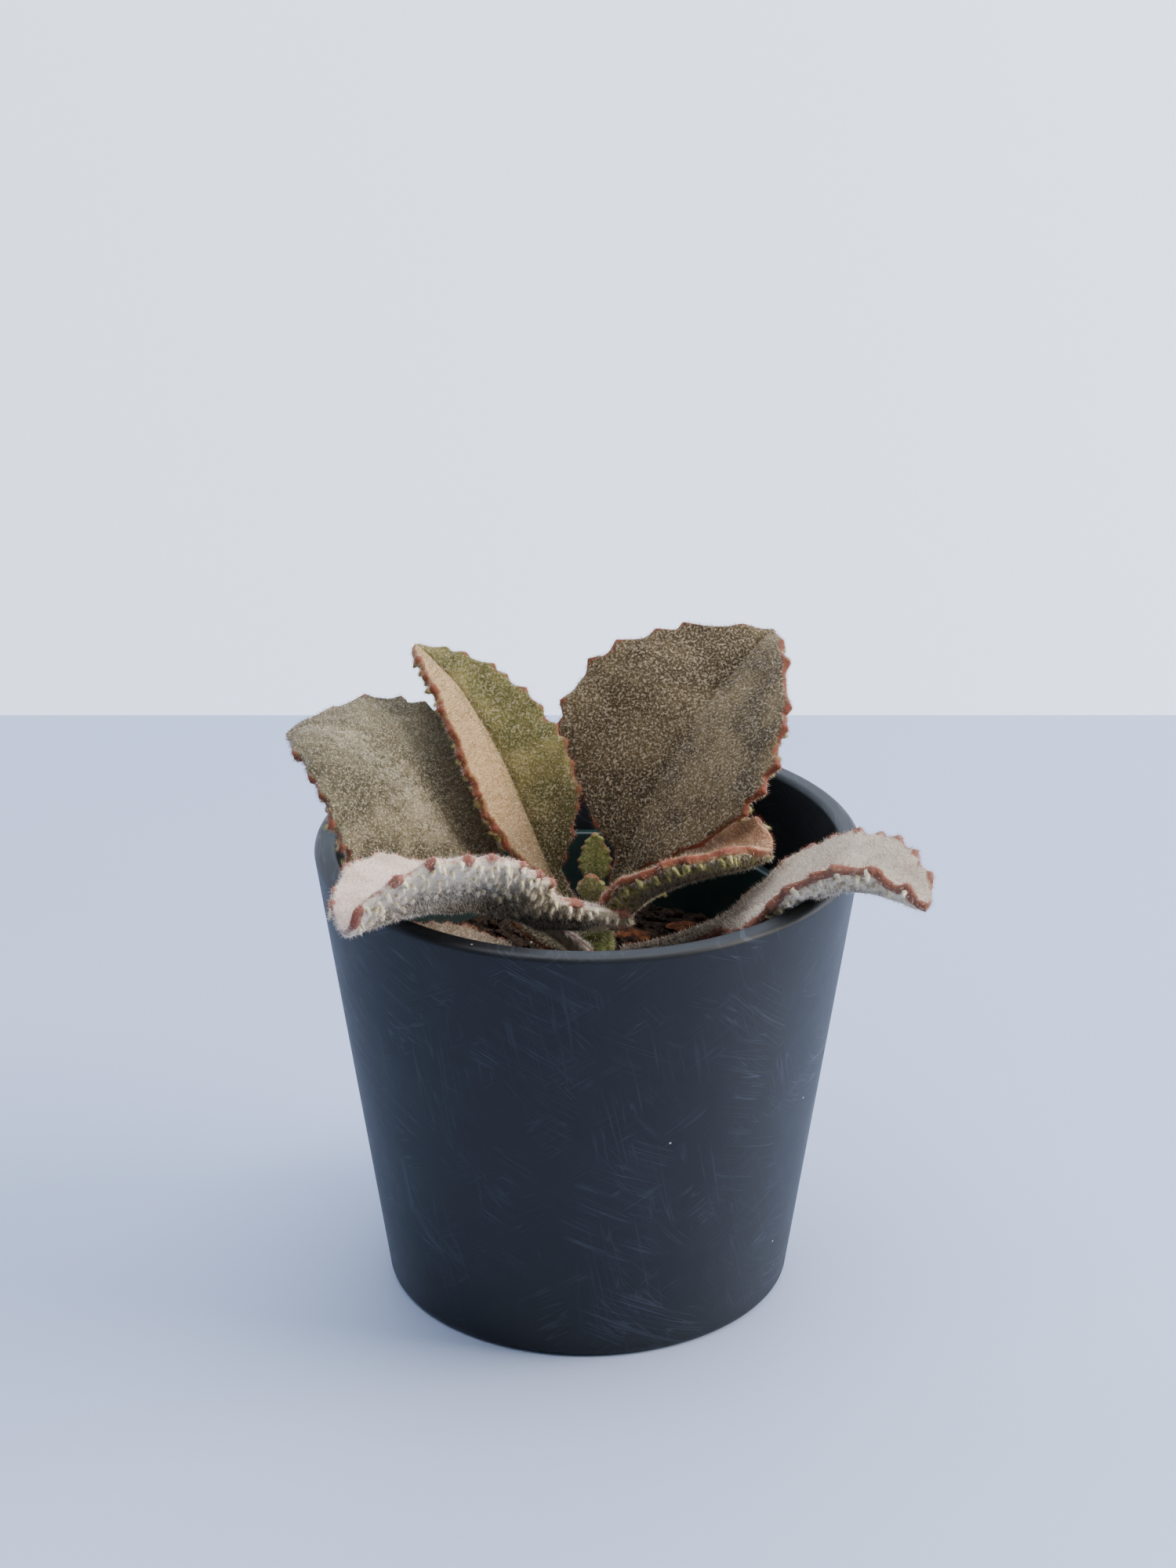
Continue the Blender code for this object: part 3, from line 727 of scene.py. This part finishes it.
def leaf_sheet(name, leaf, along, margin_share, seed, thickness):
    """The bent sheet: points, distance to the margin in mm, nearness to a tooth, left or right.

    margin_share runs from 1 at the right margin through 0 at the midrib to 1 at the left.
    """
    rng = np.random.default_rng(seed)
    place, forward, upward, leftward = midrib(leaf, along)
    place = place + leaf_start(name, leaf, thickness)
    length = leaf["petiole"] + leaf["blade"]
    blade_mm = along * length - leaf["petiole"]
    blade = np.clip(blade_mm / leaf["blade"], 0, 1)
    swell = np.clip(np.sin(np.pi * blade ** leaf["widest"]), 0, 1) ** leaf["fullness"]
    swell = swell * (1 - np.exp(-((blade / FOOT_SHARE) ** FOOT_POWER)))
    stalk = leaf["stalk"] * (1 - blade) + TIP_HALF_WIDTH * blade
    points = np.zeros((len(along), 2 * len(margin_share) - 1, 3))
    edge = np.zeros(points.shape[:2])
    tooth = np.zeros(points.shape[:2])
    halves = np.zeros(points.shape[:2])
    middle = len(margin_share) - 1
    for sign, word, which in ((1, "left", 0), (-1, "right", 1)):
        bump, near = tooth_shape(blade_mm, leaf["teeth"], rng)
        lobe = leaf["lobes"][which]
        foot = np.exp(-((blade / LOBE_SHARE) ** 2))
        foot = foot * smooth_ramp(blade_mm, LOBE_START, LOBE_FULL)
        toothed = bump * np.minimum(1, 4 * swell + foot) * smooth_ramp(blade_mm, 1, 6)
        reach = leaf[word] * swell + lobe * foot
        width = np.hypot(reach, stalk) + toothed
        turned_back = min(1, lobe / FULL_FAN_LOBE) * foot
        fan = LOBE_FAN * turned_back
        fold = leaf[word + "_fold"]
        base_fold = np.radians(fold[0] + (fold[1] - fold[0]) * blade)
        flattened = np.minimum(1, width / FOLD_FROM)[:, None]
        bend = math.radians(leaf["curl"][which])
        frill = 0.5 * np.sin(2 * np.pi * blade_mm / (2.3 * leaf["teeth"][0]) + seed)
        for k, share in enumerate(margin_share):
            steps = (np.arange(12) + 0.5) / 12 * share
            angles = (base_fold[:, None] + bend * steps) * flattened
            flat = (np.cos(angles).sum(1) * share / 12) * width
            lift = (np.sin(angles).sum(1) * share / 12) * width
            lift = lift + frill * share**3 * np.minimum(1, width / 15) * (blade > 0)
            column = middle + sign * k
            sideways = sign * flat * np.cos(fan) * (1 + turned_back * (1 - share))
            back = flat * np.sin(fan) * share
            points[:, column] = (
                place + leftward * sideways[:, None] + upward * lift[:, None] - forward * back[:, None]
            )
            edge[:, column] = (1 - share) * width
            tooth[:, column] = near * (blade > 0)
            halves[:, column] = sign * share
    return points, edge, tooth, halves


# %% [markdown]
# ## From sheet to thick leaf
# The blade is thick and its edge is round like a cord. So each row of the sheet becomes a closed
# ring: over the upper face, round the margin, and back along the underside. The thickness falls
# to nothing at the margin along a quarter circle.

# %% Thick leaf
ROWS_PER_MM = 2.6
HALF_COLUMNS = 34


def unit(vectors):
    return vectors / np.maximum(np.linalg.norm(vectors, axis=-1, keepdims=True), 1e-9)


def smooth_noise(shape, cell, seed):
    """A soft random field on a grid: coarse random values blown up with smooth steps."""
    rng = np.random.default_rng(seed)
    rows, columns = (max(2, int(s / cell) + 2) for s in shape)
    coarse = rng.normal(0, 1, (rows, columns))
    at_row = np.linspace(0, rows - 1.001, shape[0])
    at_column = np.linspace(0, columns - 1.001, shape[1])
    i, j = at_row.astype(int), at_column.astype(int)
    s = smooth_ramp(at_row - i, 0, 1)[:, None]
    t = smooth_ramp(at_column - j, 0, 1)[None, :]
    a, b = coarse[i][:, j], coarse[i + 1][:, j]
    c, d = coarse[i][:, j + 1], coarse[i + 1][:, j + 1]
    return (a * (1 - s) + b * s) * (1 - t) + (c * (1 - s) + d * s) * t


def thick_leaf(name, leaf, seed):
    """Rings of the closed leaf and, for each point, the values that the finish reads."""
    thickness = 1.6 if name in BUD_LEAVES else LEAF_THICKNESS
    rows = int((leaf["petiole"] + leaf["blade"]) * ROWS_PER_MM) + 12
    columns = HALF_COLUMNS if name not in BUD_LEAVES else 14
    along = np.linspace(0, 1, rows)
    share = 1 - np.linspace(1, 0, columns) ** 1.7
    sheet, edge, tooth, halves = leaf_sheet(name, leaf, along, share, seed, thickness)
    wave = smooth_noise(edge.shape, 26, seed) * 0.35 * smooth_ramp(edge, 0, 6)
    across = np.gradient(sheet, axis=1)
    ahead = np.gradient(sheet, axis=0)
    normal = unit(np.cross(ahead, across))
    rounding = thickness / 2
    inside = np.clip(edge / rounding, 0, 1)
    half = rounding * np.sqrt(np.clip(1 - (1 - inside) ** 2, 0, 1))
    from_midrib = np.abs(np.linspace(-1, 1, edge.shape[1]))[None, :]
    rib = 0.5 * np.exp(-((from_midrib / 0.05) ** 2)) * smooth_ramp(edge, 1, 5)
    upper = sheet + normal * (half - rib * 0.7 + wave)[..., None]
    lower = sheet - normal * (half + rib * 1.3 - wave)[..., None]
    ring = np.concatenate([upper, lower[:, -2:0:-1]], axis=1)

    def around(values, under=None):
        return np.concatenate([values, (values if under is None else under)[:, -2:0:-1]], axis=1)

    values = {
        "edge_mm": around(edge),
        "tooth": around(tooth),
        "half": around(halves),
        "under": around(np.zeros_like(edge), np.ones_like(edge)),
        "along": around(np.repeat(along[:, None], edge.shape[1], axis=1)),
    }
    return ring, values, (sheet, normal, edge)


# %% [markdown]
# ## Felt
# What looks like a dusty bloom is a dense felt of hairs about a millimetre long. Hair curves
# would vanish when the model leaves Blender, so each hair is a needle of four tiny triangles.
# All the hairs of a leaf are one mesh. Most are pale, those near the teeth are rust-red.

# %% Hairs
HAIR_LENGTH = 1.25
HAIR_WIDTH = 0.09  # real ones are finer, but this is the thinnest that still shows


def needles(root, normal, length, rng):
    """Four points for each hair, rooted just under the skin and leaning at random."""
    count = len(root)
    direction = unit(normal + rng.normal(0, 0.42, (count, 3)))
    tall = length * rng.uniform(0.6, 1.15, (count, 1))
    side = unit(np.cross(direction, rng.normal(0, 1, (count, 3))))
    other = np.cross(direction, side)
    root = root - direction * 0.15
    corners = [
        root + (side * math.cos(q) + other * math.sin(q)) * HAIR_WIDTH / 2
        for q in (0, 2 * math.pi / 3, 4 * math.pi / 3)
    ]
    tip = root + direction * (tall + 0.15)
    return np.stack([*corners, tip], axis=1).reshape(-1, 3)


def hair_arrays(rings, count, seed, length=HAIR_LENGTH):
    """Needles rooted at random, evenly by area, on a tube of rings: points, rows and columns."""
    rng = np.random.default_rng(seed)
    after = np.roll(rings, -1, axis=1)
    a, b, c, d = rings[:-1], after[:-1], after[1:], rings[1:]
    area_normal = np.cross(c - a, b - d)
    size = np.linalg.norm(area_normal, axis=-1)
    chance = (size / size.sum()).ravel()
    pick = rng.choice(len(chance), count, p=chance)
    i, j = np.unravel_index(pick, size.shape)
    s, t = rng.uniform(0, 1, (2, count, 1))
    root = (a[i, j] * (1 - t) + b[i, j] * t) * (1 - s) + (d[i, j] * (1 - t) + c[i, j] * t) * s
    middle = rings.mean(1)
    outward = np.einsum("ijk,ijk->ij", area_normal, a - middle[:-1, None])
    normal = unit(area_normal[i, j] * np.sign(outward.sum()))
    return needles(root, normal, length, rng), i, j


def needle_faces(count):
    start = np.arange(count)[:, None] * 4
    faces = np.array([[0, 1, 3], [1, 2, 3], [2, 0, 3], [0, 2, 1]])
    return (start[:, None] + faces[None]).reshape(-1, 3)


hair_finishes = {}
for word, colour in (("pale", "ede0d2"), ("tan", "8f7a55"), ("rust", "8c4c38"), ("green", "a3a06a")):
    finish, hair_shader = new_finish(word + "_leaf_hair", colour, 0.75, specular=0.25)
    hair_finishes[word] = finish
print("hair finishes:", sorted(hair_finishes))

# %% [markdown]
# ## Leaf finish
# Under the felt the leaf's own colour shows through: olive and brown on the upper face, paler
# and greyer below, rust-red along the margin and in a patch at each tooth. Some of it is painted
# light: the underside darkens further from the margin partly as painted shade, the upper face
# darkens towards the petiole as painted shade, and on single leaves a painted shade lies in the
# midrib's crease with a painted highlight on the ridge, dark spots are the painted shade of each
# dimple, and a darker left half is painted shade. The finish reads five values stored on the
# mesh: distance to the margin, nearness to a tooth, place across the blade and along it, and which
# face. Tufts of felt make a fine mottle under a millimetre across.


# %% Felted leaf
def felted_leaf(
    name, dark, light, left, under, hem, rust="6e3526", left_tone_and_shade=0.0, dimple_shade=0.0, crease_shade_and_highlight=0.0,
    rim=(0.5, 1.4), speckle=0.4,
):
    """hem: the underside by the margin; under, further in, is partly painted shade. rim: reach of the red
    edge, plain and at a tooth.
    """
    material, shader = new_finish(name, light, 0.88, specular=0.2, sheen=0.3)
    shader.inputs["Sheen Tint"].default_value = linear("e8dccb")
    place = add_node(material, "TexCoord").outputs["Object"]

    def read(key):
        return add_node(material, "Attribute", attribute_name=key).outputs["Fac"]

    def noise(size_mm, detail=4):
        settings = {"Vector": place, "Scale": pattern_scale(size_mm), "Detail": detail, "Roughness": 0.6}
        return add_node(material, "TexNoise", settings).outputs["Fac"]

    def some(value, share):
        return calculate(material, "MULTIPLY", value, share)

    patches, ragged, tufts = noise(13, 5), noise(2.6), noise(0.65, 3)
    colour = mix(material, mask(material, patches, 0.36, 0.64), dark, light)
    unevenness = some(calculate(material, "SUBTRACT", ragged, 0.5), 0.8)
    softened = calculate(material, "ADD", read("half"), unevenness)
    # Left half colour: on leaf_upright its own tan, on leaf_back_right a darker left half that is painted
    # shade, as that side lies away from the light.
    colour = mix(material, some(mask(material, softened, -0.12, 0.3), left_tone_and_shade), colour, left)
    # Painted light along the midrib: a painted shade, colour 45402f, in the crease and a painted highlight,
    # colour b3a993, on the ridge beside it.
    if crease_shade_and_highlight:
        bed = calculate(material, "ABSOLUTE", calculate(material, "ADD", softened, 0.1))
        colour = mix(material, some(mask(material, bed, 0.2, 0.02), crease_shade_and_highlight), colour, "45402f")
        ridge_highlight = calculate(material, "ABSOLUTE", calculate(material, "SUBTRACT", softened, 0.2))
        colour = mix(material, some(mask(material, ridge_highlight, 0.2, 0.0), crease_shade_and_highlight * 0.3), colour, "b3a993")
    # Each dimple is only a dark spot of colour: painted shade where a hollow would be, with no hollow in the
    # mesh.
    if dimple_shade:
        cells = add_node(
            material, "TexVoronoi", {"Vector": place, "Scale": pattern_scale(3.1), "Randomness": 0.8}
        ).outputs["Distance"]
        colour = mix(material, some(mask(material, cells, 0.32, 0.1), dimple_shade), colour, dark)
    # Painted shade: the upper face darkens towards the petiole, colour 1f1910, where the heart of the plant
    # lies in shade.
    colour = mix(material, some(mask(material, read("along"), 0.55, 0.2), 0.6), colour, "1f1910")
    # The underside runs from hem by the margin to under further in: the darker inner part is partly the
    # felt's greyer colour and partly painted shade under the folded blade.
    depth = calculate(material, "ADD", read("edge_mm"), some(ragged, 6.0))
    underside_tone_and_shade = mix(material, mask(material, depth, 8, 17), hem, under)
    colour = mix(material, mask(material, read("under"), 0.3, 0.7), colour, underside_tone_and_shade)
    colour = mix(material, some(mask(material, tufts, 0.46, 0.72), speckle), colour, "d2c2a6")
    colour = mix(material, some(mask(material, tufts, 0.5, 0.28), speckle), colour, "2c2418")
    reach = calculate(material, "ADD", some(read("tooth"), rim[1]), rim[0])
    wander = some(calculate(material, "SUBTRACT", ragged, 0.52), 4.5)
    inset = calculate(material, "SUBTRACT", read("edge_mm"), calculate(material, "ADD", reach, wander))
    colour = mix(material, some(mask(material, inset, 0.8, -0.5), 0.9), colour, rust)
    link(material, colour, shader.inputs["Base Color"])
    bump = add_node(material, "Bump", {"Height": tufts, "Distance": 0.35 * MM, "Strength": 0.7})
    link(material, bump.outputs["Normal"], shader.inputs["Normal"])
    return material


# Each under colour, for the underside further in from the margin, is partly painted shade.
LEAF_FINISHES = {
    # leaf_back_left: a painted shade in the midrib's crease with a painted highlight on its ridge, and dark
    # spots as the painted shade of each dimple.
    "leaf_back_left": dict(
        dark="35311f", light="655e48", left="8a8069", under="4f4938", hem="8f8570", dimple_shade=0.55,
        crease_shade_and_highlight=0.75, rim=(0.1, 1.3),
    ),
    "leaf_upright": dict(
        dark="4c4c22", light="776f3e", left="a98459", under="6d6544", hem="8d8355", left_tone_and_shade=0.85,
        rim=(0.45, 0.8),
    ),
    # leaf_back_right: its darker left half is painted shade.
    "leaf_back_right": dict(
        dark="2f2516", light="64553a", left="3a2d1b", under="6a5f44", hem="93866a", left_tone_and_shade=0.55,
        rim=(0.35, 1.3), speckle=0.5,
    ),
    "leaf_front_left": dict(
        dark="b3998c", light="cfb9ae", left="c8b4a6", under="4b4334", hem="ddd0ba", rust="7e3f33",
        rim=(-0.3, 3.0),
    ),
    "leaf_inner_right": dict(
        dark="7d5238", light="9a6c4d", left="946748", under="5c5438", hem="857c55", rim=(0.5, 0.4),
    ),
    "leaf_front_right": dict(
        dark="94877a", light="b5a899", left="bfaea0", under="5a5140", hem="d8ccb4", rust="703c2c",
        rim=(1.0, 2.6),
    ),
    "leaf_old_low": dict(
        dark="5d4f40", light="83705d", left="83705d", under="4e4436", hem="6f6250",
    ),
    "bud_leaf_back": dict(
        dark="55602f", light="7c8746", left="7c8746", under="6d7542", hem="808a4c", rim=(0.05, 0.5),
    ),
    "bud_leaf_front": dict(
        dark="55602f", light="7c8746", left="7c8746", under="6d7542", hem="808a4c", rim=(0, 0.3),
    ),
}
HAIR_MIX = {  # share of pale hair on the upper face; the rest is tan
    "leaf_back_left": 0.22, "leaf_upright": 0.1, "leaf_back_right": 0.1, "leaf_front_left": 0.9,
    "leaf_inner_right": 0.25, "leaf_front_right": 0.85, "leaf_old_low": 0.5,
    "bud_leaf_back": 0.2, "bud_leaf_front": 0.3,
}
HAIRS_PER_MM2 = 3.4
MOST_HAIRS = 40000

# %% [markdown]
# ## Warts under the leaf
# The underside carries rows of soft, conical, hairy warts up to three millimetres long, tallest
# near the margin. They show wherever a leaf is seen from below or curls up. Each is a small cone
# of rings with a round tip, standing on the underside and leaning a little to the leaf's tip.


# %% Warts
WART_SPACING = 3.3
WART_ROWS = ((1.7, 2.5), (4.0, 2.3), (6.6, 1.9), (9.6, 1.4), (13.0, 1.0))  # inset, height


def wart_arrays(leaf, sheet, normal, edge, seed, size):
    """Warts of one leaf: points, faces, their number, and the roots and directions of hairs."""
    rng = np.random.default_rng(seed)
    rings, sides = 5, 8
    profile = np.array([[1.3, -0.6], [1.05, 0.15], [0.7, 0.55], [0.42, 0.85], [0.18, 1.0]])
    fuzz = []
    turn = np.linspace(0, 2 * np.pi, sides, endpoint=False)
    made = []
    rows = sheet.shape[0]
    first = int(rows * (leaf["petiole"] + 6) / (leaf["petiole"] + leaf["blade"]))
    spacing = int(rows * WART_SPACING / (leaf["petiole"] + leaf["blade"]))
    middle = edge.shape[1] // 2
    for sign in (1, -1):
        for inset, tall in WART_ROWS:
            for row in range(first, rows - spacing, spacing):
                row = min(rows - 2, row + int(rng.integers(-spacing // 3, spacing // 3 + 1)))
                half = edge[row, middle:] if sign > 0 else edge[row, middle::-1]
                if half[0] < inset + 2:
                    continue
                away = inset + rng.uniform(-0.9, 0.9)
                column = middle + sign * int(np.argmin(np.abs(half - away)))
                foot = sheet[row, column] - normal[row, column] * LEAF_THICKNESS / 2
                out = -normal[row, column] + rng.normal(0, 0.22, 3)
                out = out + unit(sheet[row + 1, column] - sheet[row, column]) * 0.25
                out = unit(out)
                side = unit(np.cross(out, [0.3, 0.5, 0.8]))
                other = np.cross(out, side)
                height = tall * size * rng.uniform(0.65, 1.2)
                wide = 0.7 * rng.uniform(0.8, 1.2) * (0.7 + 0.15 * tall)
                circle = np.cos(turn)[:, None] * side + np.sin(turn)[:, None] * other
                wart = foot + circle[None] * (profile[:, :1, None] * wide)
                wart = wart + out * (profile[:, 1] * height)[:, None, None]
                ends = [foot - out * 0.6 * height, foot + out * height * 1.04]
                made.append(np.concatenate([wart.reshape(-1, 3), ends]))
                outward = np.broadcast_to(circle + out * 0.8, wart[1:].shape)
                fuzz.append(np.stack([wart[1:], outward], -2).reshape(-1, 2, 3))
    faces = tube_faces(rings, sides)
    all_faces = [face + n * (rings * sides + 2) for n in range(len(made)) for face in faces]
    fuzz = np.concatenate(fuzz)
    return np.concatenate(made), all_faces, len(made), fuzz[:, 0], unit(fuzz[:, 1])


pale_wart = plain_grain("pale_wart_skin", "b9ab84", "e3d8bf", 1.6, roughness=0.85)
olive_wart = plain_grain("olive_wart_skin", "7d7648", "a89f6c", 1.6, roughness=0.85)
PALE_UNDERNEATH = ("leaf_front_left", "leaf_front_right")
WART_SIZES = {"leaf_back_left": 0.45, "leaf_upright": 0.6, "leaf_back_right": 0.4}  # others 0.9

# %% Grow every leaf
for order, (name, leaf) in enumerate(LEAVES.items()):
    seed = 40 + order
    rings_of, values, (sheet, normal, edge) = thick_leaf(name, leaf, seed)
    rows, around = rings_of.shape[:2]
    ends = [rings_of[0].mean(0), rings_of[-1].mean(0)]
    points = np.concatenate([rings_of.reshape(-1, 3), ends])
    stored = {key: np.concatenate([grid.ravel(), grid[0, :1], grid[-1, :1]]) for key, grid in values.items()}
    finish = felted_leaf("felted_" + name, **LEAF_FINISHES[name])
    blade_piece = mesh_piece(name + "_blade", points, tube_faces(rows, around), [finish], values=stored)
    adopt(blade_piece, "leaf_felt", name)
    span = np.linalg.norm(np.cross(np.gradient(rings_of, axis=0), np.gradient(rings_of, axis=1)), axis=-1)
    count = min(MOST_HAIRS, int(span.sum() * HAIRS_PER_MM2 * (1.6 if name in BUD_LEAVES else 1)))
    length = HAIR_LENGTH * (0.4 if name in BUD_LEAVES else 1)
    hair_points, i, j = hair_arrays(rings_of, count, seed + 100, length=length)
    plain_rim, tooth_rim = LEAF_FINISHES[name].get("rim", (0.5, 1.4))
    reach = plain_rim + tooth_rim * values["tooth"][i, j]
    rim = smooth_ramp(values["edge_mm"][i, j], reach + 0.7, reach - 0.4)
    rng = np.random.default_rng(seed + 200)
    pale = rng.uniform(0, 1, count) < np.where(values["under"][i, j] > 0.5, 0.9, HAIR_MIX[name])
    kinds = np.where(rng.uniform(0, 1, count) < rim * 0.75, 2, np.where(pale, 0, 1))
    felt = mesh_piece(
        name + "_felt", hair_points, needle_faces(count),
        [hair_finishes["pale"], hair_finishes["tan"], hair_finishes["rust"]],
        kinds=np.repeat(kinds, 4), smooth=False,
    )
    adopt(felt, "leaf_felt")
    if name not in BUD_LEAVES:
        wart_points, wart_faces, warts, root, out = wart_arrays(
            leaf, sheet, normal, edge, seed + 300, WART_SIZES.get(name, 0.9)
        )
        pale_below = name in PALE_UNDERNEATH
        skin = pale_wart if pale_below else olive_wart
        adopt(mesh_piece(name + "_warts", wart_points, wart_faces, [skin]), "leaf_felt")
        fuzz_points = needles(root, out, HAIR_LENGTH * 0.8, rng)
        fuzz = mesh_piece(
            name + "_wart_fuzz", fuzz_points, needle_faces(len(root)),
            [hair_finishes["pale" if pale_below else "green"]], smooth=False,
        )
        adopt(fuzz, "leaf_felt")
        print(name, "faces", rows * around, "hairs", count, "warts", warts)

# %% [markdown]
# ## Stem
# The stem is short, green and hairy, with a swollen ring where each pair of leaves joins it.

# %% Stem
STEM_JOINTS = (98.5, 104.5)
STEM_HAIRS = 5200
stem_low, stem_high = (np.array(corner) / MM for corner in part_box("stem"))
stem_height = np.linspace(stem_low[2], stem_high[2], 70)
stem_turn = np.linspace(0, 2 * np.pi, 48, endpoint=False)
joints = sum(0.7 * np.exp(-(((stem_height - joint) / 1.6) ** 2)) for joint in STEM_JOINTS)
stem_width = 4.6 + joints + 0.3 * np.exp(-(((stem_height - SOIL_CROWN) / 3) ** 2))
stem_width = stem_width * np.sqrt(np.clip((stem_high[2] + 0.4 - stem_height) / 2.5, 0.02, 1))
lumps = 1 + 0.05 * np.sin(3 * stem_turn)[None, :] * np.sin(stem_height / 3)[:, None]
stem_rings = np.stack(
    [
        STEM_X + stem_width[:, None] * lumps * np.cos(stem_turn),
        stem_width[:, None] * lumps * np.sin(stem_turn),
        np.repeat(stem_height[:, None], 48, axis=1),
    ],
    -1,
)
stem_points = np.concatenate(
    [stem_rings.reshape(-1, 3), [stem_rings[0].mean(0), stem_rings[-1].mean(0)]]
)
stem_skin = plain_grain("young_stem_skin", "3f4a24", "7a8048", 3.0, roughness=0.7)
stem_piece = mesh_piece("stem_shoot", stem_points, tube_faces(70, 48), [stem_skin])
adopt(stem_piece, "stem_skin", "stem")
stem_hair, _, _ = hair_arrays(stem_rings, STEM_HAIRS, 77)
kinds = np.repeat(np.random.default_rng(78).integers(0, 2, STEM_HAIRS), 4)
stem_felt = mesh_piece(
    "stem_felt", stem_hair, needle_faces(STEM_HAIRS), [hair_finishes["pale"], hair_finishes["green"]],
    kinds=kinds, smooth=False,
)
adopt(stem_felt, "stem_skin")
print("stem top at", round(stem_high[2], 1), "mm")
